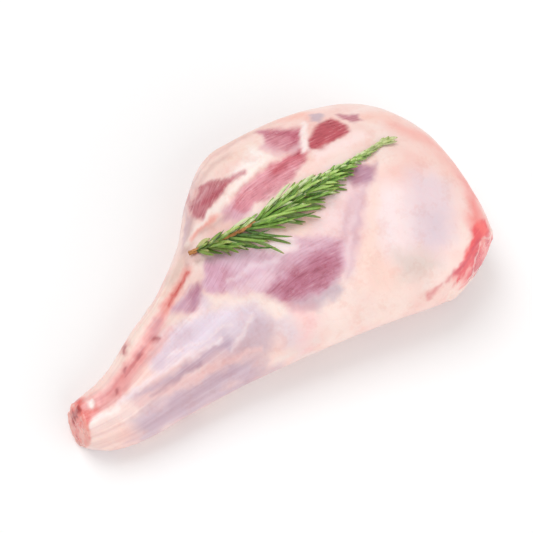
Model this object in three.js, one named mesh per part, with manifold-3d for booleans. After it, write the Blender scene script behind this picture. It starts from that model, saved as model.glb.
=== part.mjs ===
// Raw leg of lamb lying on its side, with a sprig of rosemary laid along the top.
// Millimetres, +Z up. X runs from the shank's tip to the rump, and the leg rests on Z = 0.
import * as THREE from 'three';
import { mergeVertices } from 'three/addons/utils/BufferGeometryUtils.js';
import Module from 'manifold-3d';

const wasm = await Module();
wasm.setup();

// Driving dimensions of the leg
const legLength = 360;
const thighWidth = 200;
const thighHeight = 94;
const ringsAlongLeg = 66;
const sidesOverTop = 34; // facets over the modelled upper half of a section
const sidesUnderneath = 16; // facets of the plain lower half

// Sections across the leg, from the shank's tip to the rump's end.
// along: share of the length. shin and calf: the two side edges, as shares of the thigh's width.
// crown: the top, as a share of the thigh's height.
const legSections = [
  { along: 0.000, shin: 0.082, calf: 0.040, crown: 0.30 },
  { along: 0.014, shin: 0.110, calf: -0.050, crown: 0.42 },
  { along: 0.060, shin: 0.116, calf: -0.124, crown: 0.45 },
  { along: 0.130, shin: 0.118, calf: -0.172, crown: 0.48 },
  { along: 0.220, shin: 0.177, calf: -0.204, crown: 0.54 },
  { along: 0.320, shin: 0.226, calf: -0.244, crown: 0.62 },
  { along: 0.420, shin: 0.315, calf: -0.297, crown: 0.75 },
  { along: 0.500, shin: 0.430, calf: -0.346, crown: 0.86 },
  { along: 0.590, shin: 0.518, calf: -0.400, crown: 0.95 },
  { along: 0.680, shin: 0.500, calf: -0.460, crown: 0.99 },
  { along: 0.780, shin: 0.454, calf: -0.528, crown: 1.00 },
  { along: 0.870, shin: 0.388, calf: -0.548, crown: 0.95 },
  { along: 0.945, shin: 0.300, calf: -0.478, crown: 0.82 },
  { along: 0.988, shin: 0.172, calf: -0.250, crown: 0.64 },
  { along: 1.000, shin: 0.010, calf: -0.040, crown: 0.46 },
];
const widestLevel = 0.43; // height of a section's widest line, as a share of its crown
const restingSink = 4; // how far the round underside is pressed flat by what the leg rests on
const upperFullness = 2.0; // superellipse powers of a section's upper and lower halves
const lowerFullness = 2.4;

// Muscles, tendons and seams that show through the surface: each follows a path in plan,
// spreads to either side of it, and rises above the plain form or sinks below it.
const relief = [
  { name: 'rump muscle', path: [[112, -20], [128, -58]], spread: 42, rise: 3 },
  { name: 'seam beside the rump', path: [[125, 12], [80, -36], [38, -66]], spread: 13, rise: -3 },
  { name: 'outer thigh muscle', path: [[-22, 28], [42, -36]], spread: 24, rise: 3.5 },
  { name: 'seam under the thigh', path: [[-44, 12], [-13, -30], [29, -60]], spread: 11, rise: -2.6 },
  { name: 'knuckle seam', path: [[-14, 54], [49, 50], [92, 52]], spread: 10, rise: -2.2 },
  { name: 'knuckle muscle', path: [[0, 80], [45, 76]], spread: 16, rise: 2.5 },
  { name: 'calf muscle', path: [[-128, -18], [-20, -40]], spread: 18, rise: 3.5 },
  { name: 'calf seam', path: [[-140, -16], [-60, -22]], spread: 5, rise: -2.2 },
  { name: 'shin tendon', path: [[-40, 44], [-112, 23], [-160, 15]], spread: 6, rise: 3.5 },
  { name: 'groove beside the shin', path: [[-46, 31], [-116, 9], [-150, 4]], spread: 5, rise: -2.4 },
];

// Flat raw cuts: where the rump was sawn off, and where the shank was parted at the hock.
const rumpCut = { point: [124, -99, 50], normal: [0.26, -0.963, 0.06] };
const hockCut = { point: [-170, 9, 24], normal: [-0.92, 0.26, 0.29] };
const cutterSize = 200;

// Driving dimensions of the rosemary: a woody stem laid over the thigh, with leaves in whorls that lean
// towards its tip
const sprigLine = [[-29, 45], [0, 29], [55, 19], [105, 12], [136, 11]]; // the stem in plan, cut end first
const stemRadius = 1.7;
const stemTipRadius = 0.7;
const stemSteps = 26;
const stemSides = 6;
const leafNodes = 28; // whorls along the stem
const firstLeaf = 0.03; // shares of the stem at the first and the last whorl
const lastLeaf = 0.985;
const leafLength = 36;
const leafWidth = 2.9;
const leafThickness = 1.4;
const leafClearance = 0.7; // gap kept between the sprig and the meat

// The leaves of one whorl. turn: round the stem from straight up, negative on the calf side, in degrees.
// lean: away from the stem, in degrees. long: share of the full length. from: share of the stem below them.
const whorl = [
  { turn: -106, lean: 32, long: 1.00, from: 0 },
  { turn: -84, lean: 31, long: 1.00, from: 0 },
  { turn: -58, lean: 28, long: 0.92, from: 0.25 },
  { turn: -24, lean: 20, long: 0.72, from: 0.32 },
  { turn: 44, lean: 16, long: 0.62, from: 0.3 },
  { turn: 86, lean: 18, long: 0.56, from: 0 },
];
// How far leaves stray from their place in the whorl, each by an even spread of its own: turn in degrees,
// lean and length in shares of the leaf's own, place in shares of the stem
const strays = {
  turn: { most: 44, step: 0.618034 },
  lean: { most: 0.6, step: 0.754878 },
  length: { most: 0.5, step: 0.569840 },
  place: { most: 0.02, step: 0.819173 },
};
// Leaves shorten and close up towards the young tip, and shorten a little towards the cut end.
const youngLeaves = { from: 0.36, to: 0.82, shorter: 0.75 };
const closedTip = { from: 0.7, to: 0.95, closer: 0.45 };
const lowLeaves = { to: 0.2, shorter: 0.45 };
// Rings along a leaf: share of its length, and share of its full section.
const leafRings = [
  { along: 0.20, full: 0.90 },
  { along: 0.76, full: 0.86 },
];
// Corners of a leaf's section, edge, ridge and edge, as shares of half its width and half its thickness.
const leafSection = [[1, -0.5], [0, 1], [-1, -0.5]];

// Turns rings of points and two end points into one closed surface.
function loft(rings, firstPole, lastPole) {
  const sides = rings[0].length;
  const points = [firstPole, ...rings.flat(), lastPole];
  const lastIndex = points.length - 1;
  const faces = [];
  const at = (ring, side) => 1 + ring * sides + (side % sides);
  for (let side = 0; side < sides; side++) {
    faces.push(0, at(0, side + 1), at(0, side));
    for (let ring = 0; ring < rings.length - 1; ring++) {
      const [a, b] = [at(ring, side), at(ring, side + 1)];
      const [c, d] = [at(ring + 1, side + 1), at(ring + 1, side)];
      faces.push(a, b, c, a, c, d);
    }
    faces.push(lastIndex, at(rings.length - 1, side), at(rings.length - 1, side + 1));
  }
  const geometry = new THREE.BufferGeometry().setFromPoints(points);
  geometry.setIndex(faces);
  return geometry;
}

// A closed surface as a solid that can be joined and cut, and back again.
function toSolid(geometry) {
  const bare = geometry.clone();
  bare.deleteAttribute('normal');
  bare.deleteAttribute('uv');
  const merged = mergeVertices(bare);
  return new wasm.Manifold(new wasm.Mesh({
    numProp: 3,
    vertProperties: merged.attributes.position.array,
    triVerts: new Uint32Array(merged.index.array),
  }));
}

function toGeometry(solid) {
  const { vertProperties, triVerts } = solid.getMesh();
  const geometry = new THREE.BufferGeometry();
  geometry.setAttribute('position', new THREE.BufferAttribute(vertProperties, 3));
  geometry.setIndex(new THREE.BufferAttribute(triVerts, 1));
  geometry.computeVertexNormals();
  return geometry;
}

// A smooth curve through one value of every section, read by share of the section list.
function sectionCurve(read) {
  const curve = new THREE.SplineCurve(legSections.map((section, i) => new THREE.Vector2(i, read(section))));
  return (share) => curve.getPoint(share).y;
}
const alongAt = sectionCurve((section) => (section.along - 0.5) * legLength);
const shinAt = sectionCurve((section) => section.shin * thighWidth);
const calfAt = sectionCurve((section) => section.calf * thighWidth);
const crownAt = sectionCurve((section) => section.crown * thighHeight);

const power = (value, exponent) => Math.sign(value) * Math.abs(value) ** exponent;

function distanceToPath(x, y, path) {
  const here = new THREE.Vector3(x, y, 0);
  const nearest = new THREE.Vector3();
  let least = Infinity;
  for (let i = 0; i < path.length - 1; i++) {
    const stretch = new THREE.Line3(new THREE.Vector3(...path[i], 0), new THREE.Vector3(...path[i + 1], 0));
    stretch.closestPointToPoint(here, true, nearest);
    least = Math.min(least, nearest.distanceTo(here));
  }
  return least;
}

// How far the surface over one point of the plan stands out of the plain form.
function reliefAt(x, y) {
  return relief.reduce((sum, form) => (
    sum + form.rise * Math.exp(-((distanceToPath(x, y, form.path) / form.spread) ** 2))), 0);
}

// One point of the leg's surface: share along the sections, and turn round the section.
function legPoint(share, turn) {
  const crown = crownAt(share);
  const level = widestLevel * crown;
  const middle = (shinAt(share) + calfAt(share)) / 2;
  const halfWidth = (shinAt(share) - calfAt(share)) / 2;
  const [across, up] = [Math.cos(turn), Math.sin(turn)];
  const fullness = up > 0 ? upperFullness : lowerFullness;
  const reach = up > 0 ? crown - level : level + restingSink;
  const x = alongAt(share);
  const y = middle + halfWidth * power(across, 2 / fullness);
  const stand = reliefAt(x, y) * Math.max(0, up);
  return new THREE.Vector3(
    x,
    y + stand * across,
    Math.max(0, level + reach * power(up, 2 / fullness) + stand * up),
  );
}

function legGeometry() {
  const turns = [];
  for (let side = 0; side < sidesOverTop; side++) turns.push((Math.PI * side) / sidesOverTop);
  for (let side = 0; side < sidesUnderneath; side++) turns.push(Math.PI * (1 + side / sidesUnderneath));
  const rings = [];
  for (let ring = 1; ring < ringsAlongLeg; ring++) {
    rings.push(turns.map((turn) => legPoint(ring / ringsAlongLeg, turn)));
  }
  const pole = (share) => new THREE.Vector3(
    alongAt(share), (shinAt(share) + calfAt(share)) / 2, widestLevel * crownAt(share));
  return loft(rings, pole(0), pole(1));
}

// A block whose one face lies on a cut's plane, on the side that the knife took away.
function cutter({ point, normal }) {
  const outward = new THREE.Vector3(...normal).normalize();
  const turn = new THREE.Quaternion().setFromUnitVectors(new THREE.Vector3(0, 0, 1), outward);
  const centre = new THREE.Vector3(...point).addScaledVector(outward, cutterSize / 2);
  const block = new THREE.BoxGeometry(cutterSize, cutterSize, cutterSize);
  return toSolid(block.applyQuaternion(turn).translate(...centre));
}

// The leg, cut and centred in plan on the origin
function makeLeg() {
  const solid = toSolid(legGeometry()).subtract(cutter(rumpCut)).subtract(cutter(hockCut));
  const shape = toGeometry(solid);
  shape.computeBoundingBox();
  const centre = shape.boundingBox.getCenter(new THREE.Vector3());
  shape.translate(-centre.x, -centre.y, 0);
  const mesh = new THREE.Mesh(
    shape,
    new THREE.MeshStandardMaterial({ color: 0xf0cdc6, roughness: 0.45, metalness: 0 }),
  );
  mesh.name = 'leg';
  return mesh;
}
const leg = makeLeg();

// Height of the leg's surface over one point of the plan
const caster = new THREE.Raycaster();
const down = new THREE.Vector3(0, 0, -1);
function meatHeight(x, y) {
  caster.set(new THREE.Vector3(x, y, 2 * thighHeight), down);
  const hit = caster.intersectObject(leg)[0];
  return hit ? hit.point.z : 0;
}

// Upward direction of the meat round one point, smoothed over a leaf's reach
function meatNormal(x, y) {
  const reach = leafLength / 2;
  const slopeX = (meatHeight(x + reach, y) - meatHeight(x - reach, y)) / (2 * reach);
  const slopeY = (meatHeight(x, y + reach) - meatHeight(x, y - reach)) / (2 * reach);
  return new THREE.Vector3(-slopeX, -slopeY, 1).normalize();
}

const stemRadiusAt = (share) => THREE.MathUtils.lerp(stemRadius, stemTipRadius, share);

// The stem's middle line, laid over the meat
function stemCurve() {
  const line = new THREE.CatmullRomCurve3(sprigLine.map(([x, y]) => new THREE.Vector3(x, y, 0)));
  const points = line.getSpacedPoints(stemSteps);
  points.forEach((point, step) => {
    point.z = meatHeight(point.x, point.y) + stemRadiusAt(step / stemSteps) + leafClearance;
  });
  return new THREE.CatmullRomCurve3(points);
}

function stemGeometry(curve) {
  const rings = [];
  const side = new THREE.Vector3();
  const up = new THREE.Vector3();
  for (let step = 1; step < stemSteps; step++) {
    const share = step / stemSteps;
    const middle = curve.getPoint(share);
    const ahead = curve.getTangent(share);
    side.set(0, 0, 1).cross(ahead).normalize();
    up.crossVectors(ahead, side);
    const ring = [];
    for (let i = 0; i < stemSides; i++) {
      const turn = (i / stemSides) * 2 * Math.PI;
      ring.push(middle.clone()
        .addScaledVector(side, stemRadiusAt(share) * Math.cos(turn))
        .addScaledVector(up, stemRadiusAt(share) * Math.sin(turn)));
    }
    rings.push(ring);
  }
  return loft(rings, curve.getPoint(0), curve.getPoint(1));
}

// A leaf's length by its place along the sprig, as a share of the longest
function leafSwell(share) {
  const young = THREE.MathUtils.smoothstep(share, youngLeaves.from, youngLeaves.to);
  const low = 1 - THREE.MathUtils.smoothstep(share, 0, lowLeaves.to);
  return (1 - youngLeaves.shorter * young) * (1 - lowLeaves.shorter * low);
}

// A narrow closed leaf that starts inside the stem and never dips into the meat
function leafGeometry(root, ahead, up, length) {
  const across = new THREE.Vector3().crossVectors(up, ahead).normalize();
  const face = new THREE.Vector3().crossVectors(ahead, across);
  const edge = across.clone().multiplyScalar(leafWidth / 2);
  const place = (share) => {
    const point = root.clone().addScaledVector(ahead, share * length);
    const highest = Math.max(
      meatHeight(point.x, point.y),
      meatHeight(point.x + edge.x, point.y + edge.y),
      meatHeight(point.x - edge.x, point.y - edge.y));
    point.z = Math.max(point.z, highest + leafThickness / 2 + leafClearance);
    return point;
  };
  const rings = leafRings.map(({ along, full }) => {
    const middle = place(along);
    return leafSection.map(([sideways, upwards]) => middle.clone()
      .addScaledVector(across, (sideways * full * leafWidth) / 2)
      .addScaledVector(face, (upwards * full * leafThickness) / 2));
  });
  return loft(rings, root, place(1));
}

// The stray of one leaf by its number, from minus to plus half of the most
const strayOf = ({ most, step }, number) => most * (((number * step) % 1) - 0.5);

// One leaf of a whorl, from its place on the stem
function leafSolid(curve, node, leaf, number) {
  const even = THREE.MathUtils.lerp(firstLeaf, lastLeaf, node / (leafNodes - 1));
  const share = THREE.MathUtils.clamp(even + strayOf(strays.place, number), firstLeaf, lastLeaf);
  const root = curve.getPoint(share);
  const along = curve.getTangent(share);
  const up = meatNormal(root.x, root.y);
  const side = new THREE.Vector3().crossVectors(up, along).normalize();
  const turn = THREE.MathUtils.degToRad(leaf.turn + strayOf(strays.turn, number));
  const open = 1 - closedTip.closer * THREE.MathUtils.smoothstep(share, closedTip.from, closedTip.to);
  const lean = THREE.MathUtils.degToRad(leaf.lean * open * (1 + strayOf(strays.lean, number)));
  const outward = up.clone().multiplyScalar(Math.cos(turn)).addScaledVector(side, Math.sin(turn));
  const ahead = along.clone().multiplyScalar(Math.cos(lean)).addScaledVector(outward, Math.sin(lean));
  const length = leafLength * leaf.long * leafSwell(share) * (1 + strayOf(strays.length, number));
  return toSolid(leafGeometry(root, ahead, up, length));
}

// The sprig: stem and leaves grown together into one solid
function makeSprig() {
  const curve = stemCurve();
  let solid = toSolid(stemGeometry(curve));
  for (let node = 0; node < leafNodes; node++) {
    whorl.forEach((leaf, i) => {
      const bare = node / leafNodes < leaf.from;
      if (!bare) solid = solid.add(leafSolid(curve, node, leaf, node * whorl.length + i));
    });
  }
  const mesh = new THREE.Mesh(
    toGeometry(solid),
    new THREE.MeshStandardMaterial({ color: 0x5d8f3a, roughness: 0.5, metalness: 0 }),
  );
  mesh.name = 'rosemary_sprig';
  return mesh;
}

const part = new THREE.Group();
part.add(leg, makeSprig());
export default part;
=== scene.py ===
import math
import bpy
import numpy as np
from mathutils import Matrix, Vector, noise
from mathutils.bvhtree import BVHTree


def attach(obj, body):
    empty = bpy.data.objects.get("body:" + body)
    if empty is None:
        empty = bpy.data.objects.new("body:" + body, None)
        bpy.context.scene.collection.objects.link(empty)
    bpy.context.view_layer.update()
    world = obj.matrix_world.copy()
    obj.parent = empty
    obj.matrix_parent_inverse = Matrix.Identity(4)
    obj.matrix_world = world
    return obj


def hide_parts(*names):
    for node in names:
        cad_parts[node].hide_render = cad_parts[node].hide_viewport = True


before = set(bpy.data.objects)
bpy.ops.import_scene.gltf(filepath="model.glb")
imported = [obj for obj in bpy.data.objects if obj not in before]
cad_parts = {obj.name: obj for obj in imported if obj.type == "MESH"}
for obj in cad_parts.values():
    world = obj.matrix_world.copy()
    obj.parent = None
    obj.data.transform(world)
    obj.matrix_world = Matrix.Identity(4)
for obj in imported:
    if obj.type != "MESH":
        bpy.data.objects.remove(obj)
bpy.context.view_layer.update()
mm = 0.001  # paths and sizes below are in millimetres, Blender works in metres
scene = bpy.context.scene


# helpers for objects

def selectOnly(piece):
    bpy.ops.object.select_all(action="DESELECT")
    piece.select_set(True)
    bpy.context.view_layer.objects.active = piece


def applyModifier(piece, kind, **settings):
    selectOnly(piece)
    bpy.ops.object.modifier_add(type=kind)
    modifier = piece.modifiers[-1]
    for name, value in settings.items():
        setattr(modifier, name, value)
    bpy.ops.object.modifier_apply(modifier=modifier.name)


def readPoints(piece):
    points = np.empty(len(piece.data.vertices) * 3)
    piece.data.vertices.foreach_get("co", points)
    return points.reshape(-1, 3)


def writePoints(piece, points):
    piece.data.vertices.foreach_set("co", points.ravel())
    piece.data.update()


def readNormals(piece):
    normals = np.empty(len(piece.data.vertices) * 3)
    piece.data.vertices.foreach_get("normal", normals)
    return normals.reshape(-1, 3)


def paintPoints(piece, name, values):
    layer = piece.data.attributes.new(name, "FLOAT", "POINT")
    layer.data.foreach_set("value", np.asarray(values, np.float32))


def paintColour(piece, name, colours):
    layer = piece.data.attributes.new(name, "FLOAT_COLOR", "POINT")
    opaque = np.column_stack([np.clip(colours, 0, 1), np.ones(len(colours))])
    layer.data.foreach_set("color", opaque.astype(np.float32).ravel())


# helpers for shapes and painted fields, all in millimetres

def fade(low, high, value):
    share = np.clip((value - low) / (high - low), 0, 1)
    return share * share * (3 - 2 * share)


def nearPath(spots, path):
    # distance to a path in plan, and share of the way along it
    least = np.full(len(spots), 1e9)
    along = np.zeros(len(spots))
    path = np.asarray(path, float)
    for i in range(len(path) - 1):
        step = path[i + 1] - path[i]
        share = np.clip(((spots[:, :2] - path[i]) @ step) / (step @ step), 0, 1)
        gap = np.hypot(*(spots[:, :2] - path[i] - share[:, None] * step).T)
        closer = gap < least
        least = np.where(closer, gap, least)
        along = np.where(closer, (i + share) / (len(path) - 1), along)
    return least, along


def outlineGap(spots, outline):
    # distance to a closed outline in plan, negative inside it
    closed = list(outline) + [outline[0]]
    inside = np.zeros(len(spots), bool)
    for (ax, ay), (bx, by) in zip(closed, closed[1:]):
        between = (ay > spots[:, 1]) != (by > spots[:, 1])
        crossing = ax + (spots[:, 1] - ay) * (bx - ax) / ((by - ay) or 1)
        inside ^= between & (spots[:, 0] < crossing)
    gap = nearPath(spots, closed)[0]
    return np.where(inside, -gap, gap)


def coatMask(spots, coat):
    # a coat covers fully inside its outline or half width, and fades out over its soft edge
    if "outline" in coat:
        beyond = outlineGap(spots, coat["outline"])
    else:
        gap, along = nearPath(spots, coat["path"])
        first, last = coat["half"]
        beyond = gap - (first + (last - first) * along)
    return coat["cover"] * (1 - fade(-coat["soft"], coat["soft"], beyond))


seedGap = 17.3  # how far apart in the noise two seeds look


def noiseField(spots, size, stretch=(1, 1, 1), turn=0, seed=0):
    # Perlin noise of about that size, stretched along a direction turned in plan
    c, s = math.cos(math.radians(turn)), math.sin(math.radians(turn))
    x = (spots[:, 0] * c + spots[:, 1] * s) / (size * stretch[0])
    y = (spots[:, 1] * c - spots[:, 0] * s) / (size * stretch[1])
    z = spots[:, 2] / (size * stretch[2]) + seedGap * seed
    return np.array([noise.noise(p) for p in np.stack([x, y, z], 1)])


def wander(spots, size, reach, seed):
    # the same spots moved about in plan by noise
    moved = spots.copy()
    for i in (0, 1):
        moved[:, i] += reach * noiseField(spots, size, seed=seed + i)
    return moved


def unit(vector):
    return vector / np.linalg.norm(vector)


# helpers for materials

def shade(hexTone):
    # linear colour of an sRGB tone such as "f8dcd4"
    parts = [int(hexTone[i:i + 2], 16) / 255 for i in (0, 2, 4)]
    return [p / 12.92 if p <= 0.04045 else ((p + 0.055) / 1.055) ** 2.4 for p in parts] + [1.0]


def feed(tree, source, socket):
    if isinstance(source, bpy.types.NodeSocket):
        tree.links.new(source, socket)
    else:
        socket.default_value = source


def addNode(tree, kind, inputs=None, **settings):
    node = tree.nodes.new(kind)
    for name, value in settings.items():
        setattr(node, name, value)
    for name, source in (inputs or {}).items():
        feed(tree, source, node.inputs[name])
    return node


def lay(tree, under, over, mask, blend="MIX"):
    # colour "over" laid on colour "under" where the mask is white
    mix = addNode(tree, "ShaderNodeMix", data_type="RGBA", blend_type=blend)
    feed(tree, mask, mix.inputs[0])
    feed(tree, under, mix.inputs[6])
    feed(tree, over, mix.inputs[7])
    return mix.outputs[2]


def count(tree, operation, first, second=0.0, clamp=False):
    node = addNode(tree, "ShaderNodeMath", operation=operation, use_clamp=clamp)
    feed(tree, first, node.inputs[0])
    feed(tree, second, node.inputs[1])
    return node.outputs[0]


def remap(tree, value, low, high, outLow=0.0, outHigh=1.0):
    node = addNode(tree, "ShaderNodeMapRange", interpolation_type="SMOOTHSTEP")
    for name, source in zip(("Value", "From Min", "From Max", "To Min", "To Max"),
                            (value, low, high, outLow, outHigh)):
        feed(tree, source, node.inputs[name])
    return node.outputs["Result"]


def ramp(tree, value, stops):
    node = addNode(tree, "ShaderNodeValToRGB", {"Fac": value})
    stopList = node.color_ramp.elements
    while len(stopList) < len(stops):
        stopList.new(0.5)
    for stop, (place, hexTone) in zip(stopList, stops):
        stop.position = place
        stop.color = shade(hexTone)
    return node.outputs["Color"]


def painted(tree, name):
    return addNode(tree, "ShaderNodeAttribute", attribute_name=name).outputs["Fac"]


def newGroup(name, inputs, output):
    group = bpy.data.node_groups.new(name, "ShaderNodeTree")
    for socketName, value in inputs.items():
        socket = group.interface.new_socket(socketName, in_out="INPUT", socket_type="NodeSocketFloat")
        socket.default_value = value
    group.interface.new_socket(output, in_out="OUTPUT", socket_type="NodeSocketFloat")
    return group, addNode(group, "NodeGroupInput").outputs, addNode(group, "NodeGroupOutput").inputs


def useGroup(tree, group, **inputs):
    node = addNode(tree, "ShaderNodeGroup", node_tree=group)
    for name, source in inputs.items():
        feed(tree, source, node.inputs[name])
    return node.outputs[0]


def newMaterial(name, piece):
    material = bpy.data.materials.new(name)
    material.use_nodes = True
    tree = material.node_tree
    tree.nodes.clear()
    shader = addNode(tree, "ShaderNodeBsdfPrincipled")
    out = addNode(tree, "ShaderNodeOutputMaterial")
    tree.links.new(shader.outputs["BSDF"], out.inputs["Surface"])
    piece.data.materials.clear()
    piece.data.materials.append(material)
    return tree, shader


# noise drawn out into threads along a piece
def makeThreads():
    group, given, out = newGroup("threads", {"Along": 0, "Across": 0, "Scale": 400, "Draw": 0.1}, "Thread")
    drawn = count(group, "MULTIPLY", given["Along"], given["Draw"])
    place = addNode(group, "ShaderNodeCombineXYZ", {"X": drawn, "Y": given["Across"]})
    thread = addNode(group, "ShaderNodeTexNoise", {"Vector": place.outputs[0], "Scale": given["Scale"],
                                                   "Detail": 4.0, "Roughness": 0.55})
    feed(group, thread.outputs["Fac"], out["Thread"])
    return group


# a net of thin wandering lines
def makeVeins():
    group, given, out = newGroup("veins", {"Scale": 50, "Thin": 0.04}, "Line")
    place = addNode(group, "ShaderNodeTexCoord").outputs["Object"]
    stray = addNode(group, "ShaderNodeTexNoise", {"Vector": place, "Scale": 90.0, "Detail": 3.0})
    shift = addNode(group, "ShaderNodeVectorMath", {0: stray.outputs["Color"], "Scale": 0.014},
                    operation="SCALE")
    moved = addNode(group, "ShaderNodeVectorMath", {0: place, 1: shift.outputs[0]}, operation="ADD")
    net = addNode(group, "ShaderNodeTexVoronoi", {"Vector": moved.outputs[0], "Scale": given["Scale"]},
                  feature="DISTANCE_TO_EDGE")
    feed(group, remap(group, net.outputs["Distance"], 0.0, given["Thin"], 1.0, 0.0), out["Line"])
    return group


# even mottling at two sizes
def makeMottle():
    group, given, out = newGroup("mottle", {"Scale": 60, "Fine": 4}, "Tone")
    place = addNode(group, "ShaderNodeTexCoord").outputs["Object"]
    broad = addNode(group, "ShaderNodeTexNoise", {"Vector": place, "Scale": given["Scale"], "Detail": 3.0})
    fineScale = count(group, "MULTIPLY", given["Scale"], given["Fine"])
    fine = addNode(group, "ShaderNodeTexNoise", {"Vector": place, "Scale": fineScale, "Detail": 3.0})
    both = count(group, "ADD", broad.outputs["Fac"], count(group, "MULTIPLY", fine.outputs["Fac"], 0.5))
    feed(group, remap(group, both, 0.45, 1.05), out["Tone"])
    return group


threads = makeThreads()
veins = makeVeins()
mottle = makeMottle()


# camera, lights and floor

cameraSet = {
    "azimuth": -41,
    "elevation": 70,
    "distance": 1.014,
    "lens": 90,
    "sensor": 36,
    "aim": (0.0128, 0.0052, 0.043),
}


def makeCamera():
    turn, rise = math.radians(cameraSet["azimuth"]), math.radians(cameraSet["elevation"])
    back = Vector((math.sin(turn) * math.cos(rise), -math.cos(turn) * math.cos(rise), math.sin(rise)))
    bpy.ops.object.camera_add(location=Vector(cameraSet["aim"]) + back * cameraSet["distance"])
    camera = bpy.context.object
    camera.rotation_euler = (-back).to_track_quat("-Z", "Y").to_euler()
    camera.data.lens = cameraSet["lens"]
    camera.data.sensor_width = cameraSet["sensor"]
    scene.camera = camera


lightSet = {
    "world": 0.58,
    "lamps": [
        {"name": "key", "place": (0.12, 2.24, 3.96), "size": 2.7, "power": 85},
        {"name": "fill", "place": (0.42, -3.31, 2.01), "size": 4.2, "power": 63},
    ],
    "floor": {"tone": "fcfcfc", "size": 60, "roughness": 0.8},
}


def makeLights():
    world = bpy.data.worlds.new("studio")
    scene.world = world
    world.use_nodes = True
    world.node_tree.nodes["Background"].inputs["Color"].default_value = (1, 1, 1, 1)
    world.node_tree.nodes["Background"].inputs["Strength"].default_value = lightSet["world"]
    for lamp in lightSet["lamps"]:
        bpy.ops.object.light_add(type="AREA", location=lamp["place"])
        light = bpy.context.object
        light.name = lamp["name"]
        light.data.size = lamp["size"]
        light.data.energy = lamp["power"]
        aim = Vector(cameraSet["aim"]) - light.location
        light.rotation_euler = aim.to_track_quat("-Z", "Y").to_euler()
    scene.view_settings.view_transform = "Standard"


def makeFloor():
    paper = lightSet["floor"]
    bpy.ops.mesh.primitive_plane_add(size=paper["size"])
    floor = bpy.context.object
    floor.name = "floor"
    shader = newMaterial("palePaper", floor)[1]
    shader.inputs["Base Color"].default_value = shade(paper["tone"])
    shader.inputs["Roughness"].default_value = paper["roughness"]


makeCamera()
makeLights()
makeFloor()
print("camera, lights and floor set")


# leg of lamb

legSet = {
    "mergeGap": 0.01,
    "voxel": 1.4,
    "smoothing": 0.5,
    "smoothSteps": 38,
    # the raw cuts: which way each faces, how flat it stays, how far its middle swells, how far its meat is
    # torn, how far the fat below reaches up, its meat from dark to light, and its fat
    "cuts": {
        "rump": {"facing": (0.26, -0.963, 0.06), "flat": 0.25, "swell": 5, "torn": 0.5, "lip": 0.8,
                 "meat": ["d2505c", "ea686d", "f4a19b"], "rim": "f9dcd2"},
        "hock": {"facing": (-0.92, 0.26, 0.29), "flat": 0.35, "swell": 1.5, "torn": 1.2, "lip": 0.2,
                 "meat": ["b54846", "f08880", "f6b3a8"], "rim": "f4b0a5"},
    },
    "cutFlatness": 0.9995,
    "cutEdge": (0.6, 2.4),  # distances from its plane between which a cut's face fades out
    "seamWidth": (0.02, 0.09),
    "seamCover": 0.6,
    "fat": ["f6ccc3", "f8d5cc", "fadfd7"],
    "under": {"lean": "cf95a0", "lilac": "dccad4", "pink": "f3bdb6"},
    "underCover": 0.6,
    # how far the surface faces up where the top's coats, and the wandering on steep sides, set in and
    # are full
    "topFrom": (-0.42, 0.02),
    "steepFrom": (0.7, 0.2),
    "shankFrom": (-18, -60),  # where along the leg the streaks of skin set in and are full
    "footing": (0.3, 3),  # heights above the floor between which the relief sets in
    # size of each noise, and how far some of it stands out
    "grain": {"fat": 34, "fatPatch": 13, "lump": 15, "pimple": 5, "under": 26, "blotch": 7, "blotchFine": 3,
              "torn": 4.5, "tornFine": 2.2, "meat": 9, "meatFine": 2.6, "seam": 19},
    "relief": {"lump": 0.35, "pimple": 0.12, "streak": 0.4},
    # how strong blotches and streaks are, and how far each tells in red, green and blue
    "blotch": (0.3, (0.45, 1.0, 0.9)),
    "streak": (0.14, (0.7, 1.0, 0.9)),
    # streaks of skin: how long they are, and how many lie across half the leg
    "streaks": {"broad": (60, 9), "fine": (34, 22)},
    # how the borders of coats wander: size of the waves and how far they reach
    "borders": {"tight": (3.5, 1.2), "loose": (9, 2.4), "steep": (20, 18)},
    "tightUpTo": 2,  # soft edge up to which a coat has tight borders
    # slices that the leg's width is measured in
    "slices": {"inset": 3, "step": 6, "reach": 4},
    "halfWidth": 100,  # what half the leg's width counts as where threads are drawn
}

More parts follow.
